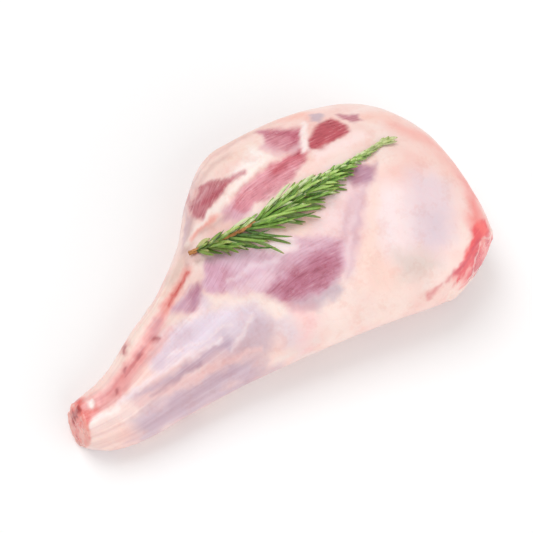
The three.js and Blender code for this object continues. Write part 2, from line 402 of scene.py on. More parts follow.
# Colour coats in paint order: tone, how far it covers, soft edge, and a closed outline or a path with its
# half width at both ends, in plan. "lean" tells how much bare muscle shows, "rise" how far it stands out.
coats = [
    # rump
    {"tone": "e7d1d8", "cover": 0.85, "soft": 12,
     "outline": [(130, -22), (145, -31), (150, -46), (137, -65), (121, -79), (103, -81), (91, -63),
                 (102, -43), (116, -30)]},
    # pale fat with a painted highlight across the rump's dome
    {"tone": "fae6e7", "cover": 0.9, "soft": 14, "half": (12, 12),
     "path": [(104, -28), (92, -42), (84, -52)]},
    {"tone": "d8c3cc", "cover": 0.75, "soft": 12,
     "outline": [(118, -54), (127, -63), (119, -74), (107, -71), (108, -61)]},
    {"tone": "dbc8c0", "cover": 0.85, "soft": 9,
     "outline": [(80, -60), (97, -70), (104, -85), (90, -87), (71, -76)]},
    {"tone": "f8d5c8", "cover": 0.85, "soft": 10, "half": (8, 11),
     "path": [(67, -45), (63, -64), (61, -81)]},
    {"tone": "f7ab9f", "cover": 0.85, "soft": 11, "half": (2, 9),
     "path": [(152, 22), (170, -14), (168, -44)]},
    {"tone": "f4928c", "cover": 0.95, "soft": 8, "half": (4, 8),
     "path": [(171, -42), (161, -62), (150, -77)]},
    {"tone": "f25f63", "cover": 0.97, "soft": 2.2, "lean": 0.4,
     "outline": [(143, -79), (158, -80), (156, -93), (140, -98), (120, -101), (108, -98), (110, -95),
                 (121, -94), (131, -88)]},
    {"tone": "fb7670", "cover": 0.8, "soft": 3, "half": (4, 3), "path": [(150, -82), (151, -88)]},
    {"tone": "d8596a", "cover": 0.8, "soft": 1.8, "half": (3, 1.2), "lean": 0.5,
     "path": [(140, -92), (124, -96.5), (110, -96.5)]},
    {"tone": "dc7a80", "cover": 0.8, "soft": 1.5, "half": (1, 0.9), "path": [(108, -96), (101, -96.5)]},
    {"tone": "e28a8a", "cover": 0.85, "soft": 1.8, "half": (0.9, 1.6), "path": [(97, -96), (85, -95)]},
    # lower thigh
    {"tone": "fbe2d9", "cover": 0.8, "soft": 10, "half": (8, 8), "path": [(22, -68), (66, -86)]},
    {"tone": "f9cdcc", "cover": 0.9, "soft": 8, "half": (7, 6), "path": [(2, -43), (5, -54), (-6, -60)]},
    {"tone": "e3d0d8", "cover": 0.8, "soft": 8, "half": (7, 7),
     "path": [(-28, -26), (-14, -40), (-13, -51)]},
    # between the sprig and the seam beside the rump
    {"tone": "f8d9da", "cover": 0.85, "soft": 8, "half": (13, 12), "path": [(84, 6), (66, -8), (50, -18)]},
    {"tone": "e8c6cf", "cover": 0.75, "soft": 8, "half": (7, 8), "lean": 0.2,
     "path": [(103, 1), (84, -14), (66, -27), (48, -42)]},
    {"tone": "d6adba", "cover": 0.6, "soft": 4.4, "half": (1.2, 1.6),
     "path": [(101, -6), (83, -19), (72, -28), (53, -43), (44, -51)]},
    {"tone": "d3a9b7", "cover": 0.55, "soft": 4, "half": (1, 1.4),
     "path": [(81, -10), (65, -23), (53, -34), (43, -43)]},
    {"tone": "cca2b3", "cover": 0.5, "soft": 3.6, "half": (0.8, 0.8),
     "path": [(87, -11), (75, -24), (62, -34)]},
    {"tone": "f4dade", "cover": 0.5, "soft": 3, "half": (0.8, 0.8),
     "path": [(92, -8), (78, -20), (62, -31), (48, -44)]},
    {"tone": "fadbd0", "cover": 0.8, "soft": 4, "half": (2.5, 4), "rise": 0.4,
     "path": [(101, -13), (87, -29), (73, -41), (60, -50), (47, -60)]},
    {"tone": "b9869d", "cover": 0.9, "soft": 3.5, "lean": 0.4,
     "outline": [(92, 8), (106, 7), (116, 0), (104, -9), (90, -2)]},
    # muscle under thin skin in the middle of the thigh
    {"tone": "edcbd7", "cover": 0.95, "soft": 4, "lean": 0.3,
     "outline": [(-38, 18), (-24, 32), (8, 10), (30, -3), (56, -27), (48, -42), (24, -46), (0, -36),
                 (-10, -20), (-26, -1)]},
    {"tone": "dcb0c0", "cover": 0.9, "soft": 4, "lean": 0.5,
     "outline": [(30, -3), (44, -14), (56, -29), (44, -38), (24, -30), (7, -19), (2, -11), (17, -9)]},
    {"tone": "d096aa", "cover": 0.95, "soft": 4, "lean": 0.7, "rise": -0.3,
     "outline": [(53, -29), (47, -40), (38, -48), (26, -48), (13, -44), (-1, -37), (-9, -25), (-10, -16),
                 (3, -17), (16, -19), (34, -21)]},
    {"tone": "be748b", "cover": 0.95, "soft": 5, "lean": 0.9, "rise": -0.3,
     "outline": [(46, -32), (42, -42), (28, -44), (11, -39), (0, -31), (-4, -22), (6, -22), (22, -25),
                 (37, -27)]},
    # painted greyish shade along the lower border of the muscle
    {"tone": "c8b1bd", "cover": 0.85, "soft": 4, "half": (2, 4), "path": [(2, -38), (17, -48), (33, -51)]},
    {"tone": "d3a0a9", "cover": 0.75, "soft": 4, "half": (2, 2),
     "path": [(-11, -23), (-7, -30), (-2, -37), (4, -43), (12, -47)]},
    {"tone": "e6bfd0", "cover": 0.9, "soft": 3, "lean": 0.4,
     "outline": [(-24, 32), (-10, 22), (8, 8), (12, -5), (2, -8), (-14, -3), (-26, 1), (-37, 7),
                 (-38, 18)]},
    {"tone": "dfacc1", "cover": 0.9, "soft": 4, "lean": 0.6, "rise": -0.3,
     "outline": [(-25, 30), (-18, 21), (-18, 8), (-30, 4), (-36, 9), (-37, 18)]},
    {"tone": "f3dae3", "cover": 0.8, "soft": 2.5, "half": (1.5, 2), "path": [(-24, 6), (-6, 2), (10, -8)]},
    {"tone": "fbe7e7", "cover": 0.9, "soft": 3, "half": (4, 5), "rise": 0.4, "path": [(15, 3), (26, -6)]},
    {"tone": "fce6de", "cover": 0.95, "soft": 4, "half": (3, 5), "rise": 0.5,
     "path": [(-40, 5), (-28, -9), (-16, -20), (-10, -34)]},
    # knuckle
    {"tone": "f7dacd", "cover": 0.8, "soft": 6, "half": (7, 6), "path": [(28, 88), (46, 80), (60, 78)]},
    {"tone": "fef2ec", "cover": 0.95, "soft": 5, "half": (3, 5), "rise": 0.8,
     "path": [(28, 66), (44, 65), (57, 60), (56, 72)]},
    {"tone": "e9bfb1", "cover": 0.8, "soft": 5, "half": (4, 4),
     "path": [(30, 101), (45, 97), (66, 93), (88, 86)]},
    {"tone": "e0c6c2", "cover": 0.75, "soft": 4, "half": (2, 4),
     "path": [(-20, 64), (-12, 73), (2, 85), (18, 97)]},
    {"tone": "d3b2bb", "cover": 0.8, "soft": 3, "half": (3, 2.5),
     "path": [(-13, 68), (-23, 62), (-29, 52)]},
    {"tone": "d9a59e", "cover": 0.6, "soft": 2.6, "half": (1.2, 1.2),
     "path": [(-10, 75), (4, 87), (12, 92), (21, 94), (33, 94), (48, 93), (66, 91)]},
    {"tone": "cda09b", "cover": 0.6, "soft": 5, "half": (2, 2),
     "path": [(10, 83), (19, 86), (29, 87), (42, 85)]},
    {"tone": "bd9496", "cover": 0.75, "soft": 4, "half": (1.5, 2),
     "path": [(-36, 40), (-27, 51), (-18, 60), (-8, 67)]},
    {"tone": "f8b9a8", "cover": 0.8, "soft": 5, "half": (4, 5), "path": [(96, 84), (110, 75)]},
    {"tone": "f9bfae", "cover": 0.7, "soft": 8, "half": (5, 5), "path": [(142, 38), (164, 26)]},
    {"tone": "fdeae2", "cover": 0.95, "soft": 2.6, "half": (3.5, 3), "rise": 0.8,
     "path": [(62, 59), (49, 58), (36, 58), (22, 57), (7, 56), (-8, 55), (-22, 54)]},
    {"tone": "f3a193", "cover": 0.85, "soft": 2.2, "half": (2.2, 2),
     "path": [(-18, 54), (-7, 52.5), (2, 52)]},
    {"tone": "d9b3b6", "cover": 0.8, "soft": 4, "half": (2, 3), "path": [(-12, 70), (-6, 79), (6, 86)]},
    {"tone": "c6757f", "cover": 0.95, "soft": 2.4, "lean": 0.9, "rise": -0.6,
     "outline": [(-8, 67), (-2, 77), (8, 79), (18, 73), (25, 66), (15, 61), (5, 60), (-4, 58)]},
    {"tone": "c46e79", "cover": 0.85, "soft": 2.2, "half": (3, 1.6), "lean": 0.8,
     "path": [(11, 79), (20, 73), (28, 65.5), (40, 62.5)]},
    {"tone": "bd4f60", "cover": 0.75, "soft": 2.1, "half": (1.4, 2), "lean": 1.0,
     "path": [(31, 64), (22, 66), (12, 66), (3, 68)]},
    {"tone": "e3b4b6", "cover": 0.7, "soft": 1.6, "half": (0.6, 1.2), "path": [(15, 76), (7, 74), (2, 74)]},
    {"tone": "e3adbe", "cover": 0.9, "soft": 4, "lean": 0.5,
     "outline": [(31, 38), (21, 34), (11, 34), (3, 44), (8, 51), (22, 50)]},
    {"tone": "e08e9b", "cover": 0.95, "soft": 2.6, "lean": 0.9, "rise": -0.5,
     "outline": [(86, 41), (73, 36), (59, 31), (44, 32), (30, 35), (18, 37), (14, 45), (18, 50), (32, 54),
                 (46, 53), (69, 50), (81, 48)]},
    {"tone": "d4606e", "cover": 0.85, "soft": 5, "half": (4, 4), "lean": 1.0, "path": [(82, 45), (58, 47)]},
    {"tone": "d88b99", "cover": 0.95, "soft": 2.4, "lean": 0.9, "rise": -0.5,
     "outline": [(77, 90), (84, 79), (92, 68), (98, 64), (93, 55), (83, 49), (75, 53), (68, 62), (68, 69),
                 (72, 78)]},
    {"tone": "e5b3bb", "cover": 0.75, "soft": 3.5, "half": (4, 4), "path": [(67, 69), (71, 58)]},
    {"tone": "c46378", "cover": 0.85, "soft": 2.6, "half": (2, 3.8), "lean": 0.9,
     "path": [(75, 87), (77, 80), (82, 73), (87, 68), (91, 62), (87, 55), (81, 51)]},
    {"tone": "f2d0d2", "cover": 0.7, "soft": 3, "half": (2.5, 2), "path": [(86, 51), (78, 52)]},
    {"tone": "c4545f", "cover": 1.0, "soft": 2.2, "lean": 0.9, "rise": -0.7,
     "outline": [(112, 57), (121, 55), (124, 49), (122, 34), (109, 36), (94, 35), (87, 42), (95, 51)]},
    {"tone": "c67b89", "cover": 0.9, "soft": 2.2, "lean": 0.8,
     "outline": [(127, 55), (139, 45), (136, 37), (128, 43)]},
    {"tone": "c9b0ba", "cover": 0.9, "soft": 2.2, "outline": [(114, 70), (121, 62), (112, 58), (108, 63)]},
    {"tone": "fdeae6", "cover": 0.97, "soft": 2.2, "half": (2.6, 3), "rise": 0.6,
     "path": [(103, 66), (92, 53), (85, 44)]},
    {"tone": "fde2de", "cover": 0.9, "soft": 4, "half": (4, 5), "rise": 0.4,
     "path": [(88, 34), (104, 30), (126, 26)]},
    # painted shade under and beside the sprig, standing in for its shadow on the meat
    {"tone": "a8737a", "cover": 0.45, "soft": 6, "half": (2, 2),
     "path": [(-26, 40), (0, 23), (50, 9), (96, 4)]},
    {"tone": "8e4f58", "cover": 0.5, "soft": 4, "half": (2, 2), "path": [(-16, 32), (2, 20), (14, 16)]},
    {"tone": "8a5a52", "cover": 0.55, "soft": 4, "half": (2, 2), "path": [(-28, 35), (-21, 28), (-12, 22)]},
    {"tone": "b9867f", "cover": 0.5, "soft": 4, "half": (2, 2), "path": [(-14, 50), (-4, 48), (8, 45)]},
    # shin
    {"tone": "f8dccf", "cover": 0.9, "soft": 4, "half": (5, 4),
     "path": [(-36, 47), (-50, 42), (-69, 34), (-98, 27), (-116, 21)]},
    {"tone": "d8b7ac", "cover": 0.65, "soft": 5, "half": (5, 4), "path": [(-26, 52), (-40, 46), (-52, 42)]},
    {"tone": "f8dcd2", "cover": 0.85, "soft": 5,
     "outline": [(-71, 27), (-61, 12), (-52, 5), (-70, 10), (-81, 17)]},
    {"tone": "f6aeaa", "cover": 0.97, "soft": 5, "half": (4, 9), "lean": 0.35,
     "path": [(-64, 29), (-79, 24), (-92, 17), (-108, 11), (-126, 6), (-139, 4), (-160, 7)]},
    {"tone": "fae2d6", "cover": 0.9, "soft": 2.6, "half": (2.4, 2), "rise": 0.8,
     "path": [(-66, 35), (-84, 30), (-98, 27), (-107, 23)]},
    {"tone": "d8979e", "cover": 0.8, "soft": 3, "half": (2.5, 2.5), "path": [(-77, 25), (-88, 18)]},
    {"tone": "f3a094", "cover": 0.85, "soft": 3, "half": (2.6, 2.8),
     "path": [(-38, 36), (-55, 31.5), (-68, 28)]},
    {"tone": "de615a", "cover": 0.9, "soft": 1.7, "half": (1.5, 1.2), "lean": 0.6, "rise": -0.4,
     "path": [(-39, 35), (-47, 33), (-56, 31), (-65, 28.5)]},
    {"tone": "d9787c", "cover": 0.6, "soft": 2.5, "half": (1, 1.4),
     "path": [(-88, 19), (-104, 14), (-124, 9), (-146, 7)]},
    {"tone": "b8505a", "cover": 0.6, "soft": 1.9, "half": (1.4, 0.8), "lean": 0.4,
     "path": [(-100, 15.5), (-112, 11), (-123, 8.5)]},
    # inside of the knee
    {"tone": "e4cfda", "cover": 0.8, "soft": 4, "outline": [(-42, 16), (-41, 5), (-49, 3), (-54, 8)]},
    {"tone": "d3a3b8", "cover": 0.9, "soft": 3, "lean": 0.4, "rise": -0.3,
     "outline": [(-44, 25), (-38, 19), (-46, 11), (-54, 9), (-60, 13), (-66, 21), (-63, 26), (-53, 23)]},
    {"tone": "c48da6", "cover": 0.8, "soft": 3, "half": (3, 3), "lean": 0.5,
     "path": [(-43, 21), (-51, 14)]},
    # calf
    {"tone": "e9d9e6", "cover": 0.95, "soft": 7,
     "outline": [(-80, 13), (-68, 10), (-55, 5), (-36, -5), (-19, -19), (-20, -31), (-36, -32), (-54, -25),
                 (-71, -17), (-88, -11), (-103, -7), (-101, 4)]},
    {"tone": "dcc7d2", "cover": 0.85, "soft": 8,
     "outline": [(-53, -13), (-33, -18), (-19, -27), (-23, -40), (-41, -41), (-58, -32)]},
    {"tone": "ceb3c0", "cover": 0.95, "soft": 10,
     "outline": [(-147, -32), (-122, -41), (-99, -47), (-77, -52), (-56, -56), (-38, -57), (-48, -37),
                 (-69, -32), (-92, -27), (-116, -21), (-138, -17)]},
    {"tone": "efe0da", "cover": 0.8, "soft": 6, "half": (2, 6),
     "path": [(-44, -62), (-28, -63), (-4, -69)]},
    {"tone": "d9bfcb", "cover": 0.85, "soft": 6, "half": (5, 6),
     "path": [(-70, 0), (-78, 0), (-88, -1), (-98, -1)]},
    {"tone": "f3bcb9", "cover": 0.8, "soft": 4, "half": (2.5, 3),
     "path": [(-76, 12), (-82, 9), (-89, 7), (-100, 6)]},
    {"tone": "cdb1bb", "cover": 0.8, "soft": 6,
     "outline": [(-25, -26), (-20, -35), (-21, -45), (-29, -50), (-42, -48), (-55, -40), (-51, -34),
                 (-38, -30)]},
    {"tone": "c9aab8", "cover": 0.75, "soft": 3, "half": (3, 3),
     "path": [(-61, -41), (-74, -36), (-85, -33), (-97, -31), (-109, -29)]},
    {"tone": "c0a3b5", "cover": 0.9, "soft": 4.5, "half": (2, 4),
     "path": [(-130, -8), (-114, -13), (-92, -18), (-71, -22), (-52, -26)]},
    {"tone": "ebc3c1", "cover": 0.95, "soft": 2.4, "half": (3, 2.2), "rise": 0.5,
     "path": [(-151, -9), (-134, -12), (-112, -18), (-93, -25), (-77, -30), (-54, -37), (-36, -44)]},
    {"tone": "b38b9c", "cover": 0.8, "soft": 2.6, "half": (0.6, 1.4), "rise": -0.4,
     "path": [(-117, -16.5), (-103, -18.5), (-91, -20), (-76, -23)]},
    {"tone": "f7e4e7", "cover": 0.85, "soft": 2.2, "half": (1.4, 1), "rise": 0.3,
     "path": [(-139, -6), (-121, -7), (-104, -8), (-87, -11), (-70, -16), (-54, -21)]},
    {"tone": "f6e2e3", "cover": 0.75, "soft": 2.1, "half": (0.8, 0.8), "rise": 0.3,
     "path": [(-92, -4), (-76, -7), (-62, -13), (-52, -14), (-42, -18)]},
    {"tone": "f6e3e3", "cover": 0.7, "soft": 2.4, "half": (1.6, 0.6), "rise": 0.3,
     "path": [(-26, -23), (-34, -27), (-43, -29), (-53, -31)]},
    # shank's end
    {"tone": "fbe0d9", "cover": 0.9, "soft": 4, "half": (5, 4),
     "path": [(-162, -6), (-145, -10), (-134, -14)]},
    {"tone": "fdf1ec", "cover": 0.85, "soft": 2.4, "half": (2, 1.6), "rise": 0.4,
     "path": [(-164, -2), (-156, -4), (-150, -6), (-142, -7)]},
    {"tone": "ee7469", "cover": 0.95, "soft": 3, "half": (6, 2), "lean": 0.5,
     "path": [(-172, 11), (-155, 2)]},
    {"tone": "e6564e", "cover": 0.92, "soft": 2.6, "half": (5, 4), "lean": 0.6,
     "path": [(-161, 19), (-167, 16), (-170, 8), (-167, 3)]},
    {"tone": "fff7f2", "cover": 1.0, "soft": 1.8, "half": (2.4, 2.4), "rise": 0.8,
     "path": [(-154, 10), (-155, 8)]},
]

# dried blood along the shin: where each spot starts and ends in plan, and its half width
bloodSpots = [
    {"path": [(-89, 15), (-86.5, 12.5)], "half": 1.7},
    {"path": [(-108, 28), (-112, 23)], "half": 1.6},
    {"path": [(-104, 13.5), (-108, 11.5)], "half": 1.3},
    {"path": [(-118, 13.5), (-121, 11.5)], "half": 1.1},
    {"path": [(-134, 5), (-136, 3)], "half": 1.3},
]
for spot in bloodSpots:
    for tone, cover, reach in (("dc8586", 0.55, 2.2), ("a3404c", 0.65, 0.9)):  # a halo and a dark core
        half = spot["half"] * reach
        coats.append({"tone": tone, "cover": cover, "soft": 1.3 * reach, "half": (half, 0.7 * half),
                      "lean": 0.4, "path": spot["path"]})


def cutPlane(facing):
    # middle of the flat cut in the solid that faces this way
    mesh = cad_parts["leg"].data
    facing = unit(np.array(facing))
    flat = [f for f in mesh.polygons if Vector(facing).dot(f.normal) > legSet["cutFlatness"]]
    corners = np.array([mesh.vertices[i].co for f in flat for i in f.vertices]) / mm
    return (corners.min(0) + corners.max(0)) / 2, facing


def makeLeg():
    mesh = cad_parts["leg"].data.copy()
    mesh.name = "lamb_leg"
    leg = bpy.data.objects.new("lamb_leg", mesh)
    scene.collection.objects.link(leg)
    selectOnly(leg)
    bpy.ops.object.mode_set(mode="EDIT")
    bpy.ops.mesh.select_all(action="SELECT")
    bpy.ops.mesh.remove_doubles(threshold=legSet["mergeGap"] * mm)
    bpy.ops.object.mode_set(mode="OBJECT")
    applyModifier(leg, "REMESH", mode="VOXEL", voxel_size=legSet["voxel"] * mm)
    sharp = readPoints(leg) / mm
    applyModifier(leg, "SMOOTH", factor=legSet["smoothing"], iterations=legSet["smoothSteps"])
    spots = readPoints(leg) / mm
    # the raw cuts stay flat, and each keeps its points' places on it, -1 to 1 both ways
    faces = {}
    for name, cut in legSet["cuts"].items():
        middle, outward = cutPlane(cut["facing"])
        onFace = 1 - fade(*legSet["cutEdge"], np.abs((sharp - middle) @ outward))
        level = unit(np.cross((0, 0, 1), outward))
        places = (sharp - middle) @ np.column_stack([level, np.cross(outward, level)])
        places /= np.abs(places[onFace > 0.5]).max(0)
        faces[name] = {"mask": onFace, "places": places}
        swell = cut["swell"] * (1 - np.minimum(1, (places**2).sum(1)))
        spots += (cut["flat"] * onFace)[:, None] * (sharp - spots) + (swell * onFace)[:, None] * outward
    spots[:, 2] = np.maximum(spots[:, 2], 0)
    writePoints(leg, spots * mm)
    return leg, faces


def acrossLeg(spots):
    # place across the leg, -1 at its calf edge to 1 at its shin edge
    slices, run = legSet["slices"], spots[:, 0]
    stations = np.arange(run.min() + slices["inset"], run.max() - slices["inset"], slices["step"])
    edges = [spots[np.abs(run - x) < slices["reach"], 1] for x in stations]
    low = np.interp(run, stations, [e.min() for e in edges])
    high = np.interp(run, stations, [e.max() for e in edges])
    return np.clip((2 * spots[:, 1] - low - high) / (high - low), -1, 1)


def grainOf(spots, kind, **settings):
    return noiseField(spots, legSet["grain"][kind], **settings)


def streaksOf(spots, across, kind, seed):
    # noise drawn out along the leg
    long, number = legSet["streaks"][kind]
    return noiseField(np.column_stack([spots[:, 0] / long, across * number, across * 0]), 1, seed=seed)


def layTone(tint, cover, tone):
    tint += cover[:, None] * (np.array(shade(tone)[:3]) - tint)


def dapple(tint, kind, field):
    # darker and paler by a noise field
    strength, channels = legSet[kind]
    tint *= 1 + (strength * field)[:, None] * np.array(channels)


def paintLeg(leg, faces):
    spots = readPoints(leg) / mm
    normals = readNormals(leg)
    top = fade(*legSet["topFrom"], normals[:, 2])
    across = acrossLeg(spots)
    relief = legSet["relief"]
    # fat that is paler and pinker by patches
    broad, patchy = grainOf(spots, "fat", seed=1), grainOf(spots, "fatPatch", seed=2)
    dark, middle, light = [np.array(shade(t)[:3]) for t in legSet["fat"]]
    tint = middle + fade(0, 0.5, broad + 0.5 * patchy)[:, None] * (light - middle)
    tint += fade(0, 0.5, -broad - 0.5 * patchy)[:, None] * (dark - middle)
    lean = np.zeros(len(spots))
    rise = relief["lump"] * grainOf(spots, "lump", seed=3)
    rise += relief["pimple"] * grainOf(spots, "pimple", seed=4)
    # the side that it lies on: muscle, skin and pink fat in long soft patches
    long = grainOf(spots, "under", stretch=(2.6, 1, 1), turn=-12, seed=15) + 0.3 * patchy
    for kind, field in (("pink", broad), ("lilac", -long - 0.08), ("lean", long - 0.1)):
        cover = (1 - top) * legSet["underCover"] * fade(0, 0.4, field)
        layTone(tint, cover, legSet["under"][kind])
        lean = np.maximum(lean, cover * (kind == "lean"))
    # the painted coats, with borders that wander a little, and far more down the steep sides
    borders = legSet["borders"]
    tight = wander(spots, *borders["tight"], seed=7)
    size, reach = borders["steep"]
    loose = wander(wander(tight, *borders["loose"], seed=5), size,
                   reach * fade(*legSet["steepFrom"], normals[:, 2]), seed=22)
    for coat in coats:
        cover = top * coatMask(loose if coat["soft"] > legSet["tightUpTo"] else tight, coat)
        layTone(tint, cover, coat["tone"])
        lean += cover * (coat.get("lean", 0) - lean)
        rise += cover * coat.get("rise", 0)
    # bare muscle is darker and paler by small patches
    blotch = grainOf(spots, "blotch", stretch=(1.8, 1, 1), seed=18)
    dapple(tint, "blotch", lean * (blotch + 0.6 * grainOf(spots, "blotchFine", seed=20)))
    # long streaks of skin along the calf and the shank
    shank = fade(*legSet["shankFrom"], spots[:, 0])
    streak = streaksOf(spots, across, "broad", seed=9) + 0.5 * streaksOf(spots, across, "fine", seed=10)
    dapple(tint, "streak", shank * streak)
    rise += relief["streak"] * shank * streak
    paintCuts(spots, faces, tint, lean)
    torn = grainOf(spots, "torn", seed=11) + 0.5 * grainOf(spots, "tornFine", seed=12)
    for name, face in faces.items():
        rise += face["mask"] * (legSet["cuts"][name]["torn"] * torn - rise)
    rise *= fade(*legSet["footing"], spots[:, 2])
    spots = spots + rise[:, None] * normals
    spots[:, 2] = np.maximum(spots[:, 2], 0)
    writePoints(leg, spots * mm)
    paintColour(leg, "tint", tint)
    paintPoints(leg, "lean", lean)
    whole = 1 - sum(face["mask"] for face in faces.values())
    paintPoints(leg, "whole", whole)
    paintPoints(leg, "calf", shank * top * whole)
    paintPoints(leg, "legRun", spots[:, 0] * mm)
    paintPoints(leg, "legAcross", across * legSet["halfWidth"] * mm)


def paintCuts(spots, faces, tint, lean):
    # meat from dark to light with thin seams, and fat that reaches up from below, most towards the calf
    grain = grainOf(spots, "meat", stretch=(1, 1, 2), seed=13)
    mixed = grain + 0.4 * grainOf(spots, "meatFine", seed=14)
    seams = 1 - fade(*legSet["seamWidth"], np.abs(grainOf(spots, "seam", seed=16) + 0.1 * mixed))
    for name, face in faces.items():
        cut = legSet["cuts"][name]
        sideways, upright = face["places"].T
        dark, middle, light, rim = [np.array(shade(t)[:3]) for t in cut["meat"] + [cut["rim"]]]
        meat = middle + fade(0.05, 0.5, mixed)[:, None] * (light - middle)
        meat += fade(0.1, 0.45, -mixed)[:, None] * (dark - middle)
        meat += (legSet["seamCover"] * seams)[:, None] * (rim - meat)
        below = fade(0.2, -0.45, upright + 0.4 * sideways + 0.3 * grain)
        fat = fade(0.72, 1, np.hypot(sideways, upright) + 0.12 * grain + cut["lip"] * below)
        fat *= fade(0.75, 0.45, upright)
        meat += fat[:, None] * (rim - meat)
        tint += face["mask"][:, None] * (meat - tint)
        lean += face["mask"] * (1 - fat - lean)


def finishLeg(leg):
    tree, shader = newMaterial("rawLamb", leg)
    along, across = painted(tree, "legRun"), painted(tree, "legAcross")
    lean, calf, whole = [painted(tree, name) for name in ("lean", "calf", "whole")]
    fibrous = count(tree, "MULTIPLY", lean, whole)
    speckle = useGroup(tree, mottle, Scale=70, Fine=5)
    fibre = useGroup(tree, threads, Along=along, Across=across, Scale=520, Draw=0.16)
    skin = useGroup(tree, threads, Along=along, Across=across, Scale=150, Draw=0.05)
    vein = useGroup(tree, veins, Scale=48, Thin=0.05)

    colour = addNode(tree, "ShaderNodeAttribute", attribute_name="tint").outputs["Color"]
    fatTone = ramp(tree, speckle, [(0.0, "f6e3de"), (0.45, "ffffff"), (1.0, "ffffff")])
    colour = lay(tree, colour, fatTone, 0.5, "MULTIPLY")
    skinTone = ramp(tree, skin, [(0.3, "e3d0da"), (0.5, "ffffff"), (0.7, "ffffff")])
    colour = lay(tree, colour, skinTone, count(tree, "MULTIPLY", calf, 0.35), "MULTIPLY")
    # whitish streaks of sheer skin on the calf, partly a painted sheen
    sheerSkinAndSheen = count(tree, "MULTIPLY", calf, remap(tree, skin, 0.52, 0.75, 0, 0.2))
    colour = lay(tree, colour, shade("fbf0f1"), sheerSkinAndSheen)
    fibreTone = ramp(tree, fibre, [(0.3, "c794a0"), (0.5, "f8eef0"), (0.65, "ffffff")])
    colour = lay(tree, colour, fibreTone, count(tree, "MULTIPLY", fibrous, 0.8), "MULTIPLY")
    marbling = count(tree, "MULTIPLY", fibrous, remap(tree, fibre, 0.56, 0.72, 0, 0.32))
    colour = lay(tree, colour, shade("f6d9da"), marbling)
    bare = count(tree, "SUBTRACT", 1.0, lean, clamp=True)
    faint = remap(tree, speckle, 0.3, 0.8, 0.0, 0.05)
    blood = count(tree, "MULTIPLY", count(tree, "MULTIPLY", vein, bare), faint)
    colour = lay(tree, colour, shade("e58d8b"), blood)
    feed(tree, colour, shader.inputs["Base Color"])

    wet = remap(tree, speckle, 0.1, 0.9, 0.3, 0.5)
    wet = count(tree, "SUBTRACT", wet, count(tree, "MULTIPLY", lean, 0.06))
    feed(tree, wet, shader.inputs["Roughness"])
    feed(tree, remap(tree, lean, 0, 1, 0.1, 0.3), shader.inputs["Coat Weight"])
    shader.inputs["Coat Roughness"].default_value = 0.2
    shader.inputs["Subsurface Weight"].default_value = 0.15
    shader.inputs["Subsurface Radius"].default_value = (1.0, 0.4, 0.3)
    shader.inputs["Subsurface Scale"].default_value = 0.003
    drawn = count(tree, "ADD", count(tree, "MULTIPLY", fibrous, 0.8), count(tree, "MULTIPLY", whole, 0.15))
    height = count(tree, "MULTIPLY", fibre, drawn)
    height = count(tree, "ADD", height, count(tree, "MULTIPLY", speckle, 0.5))
    bump = addNode(tree, "ShaderNodeBump", {"Height": height, "Strength": 0.3, "Distance": 0.001})
    feed(tree, bump.outputs["Normal"], shader.inputs["Normal"])


leg, cutFaces = makeLeg()
paintLeg(leg, cutFaces)
selectOnly(leg)
bpy.ops.object.shade_smooth()
finishLeg(leg)
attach(leg, "root")
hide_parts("leg")
print("leg made,", len(leg.data.polygons), "faces")


# rosemary sprig

sprigSet = {
    "line": [(-29, 45), (0, 29), (55, 19), (105, 12), (136, 11)],  # the stem in plan, cut end first
    "stemRadius": (1.7, 0.7),
    "stemSteps": 90,
    "stemSides": 24,
    "stemSmooth": 9,  # steps over which its height is evened out
    "knot": 0.08,
    "ridge": {"number": 4, "height": 0.1, "twist": 9},
    "whorls": 46,
    "whorlSpan": (0.03, 0.965),
    "leafLength": 36,
    "leafWidth": 2.6,
    "leafThickness": 1.1,
    "clearance": 0.35,
    "lookFrom": 300,  # height from which the meat is looked for
    # share of a leaf's length, and share of its full width there
    "leafRings": [(0, 0.5), (0.06, 0.75), (0.2, 0.95), (0.45, 1), (0.7, 0.92), (0.88, 0.7), (0.97, 0.42),
                  (1, 0.15)],
    "leafSides": 8,
    # the leaf's upper and lower side as shares of its thickness, its groove above and its rib below
    "leafForm": {"upper": 0.62, "lower": 0.45, "groove": 0.34, "grooveWidth": 0.3, "rib": 0.6},
    # turn round the stem from straight up, lean from the stem, share of the full length, and where its
    # bare stretch ends
    "whorl": [(-106, 32, 1.00, 0), (-84, 31, 1.00, 0), (-58, 28, 0.92, 0.25), (-24, 20, 0.72, 0.32),
              (44, 16, 0.62, 0.3), (86, 18, 0.56, 0)],
    # how far leaves stray from their place in the whorl, and the step that spreads them evenly
    "strays": {"turn": (60, 0.618034), "lean": (0.7, 0.754878), "length": (0.55, 0.56984),
               "place": (0.02, 0.819173)},
    "bareFrom": 0.13,
    "toneStep": 0.381966,
    # from and to which share of the stem, and how far leaves shorten or close up there; below 0 they spread
    "young": (0.36, 0.82, 0.75),
    "closed": (0.7, 0.95, 0.45),
    "low": (0.2, 0, 0.45),
    "tuft": (0.9, 1, -0.6),
    # where on the stem leaves turn pale and young, or darker towards the cut end, and how far round it they
    # take painted shade
    "youngTone": (0.74, 1),
    "nearCutTone": (0.2, 0),
    "lowShade": (0.4, -0.3),
    "arch": 0.04,
    "sway": 0.2,
    "twist": 50,
}


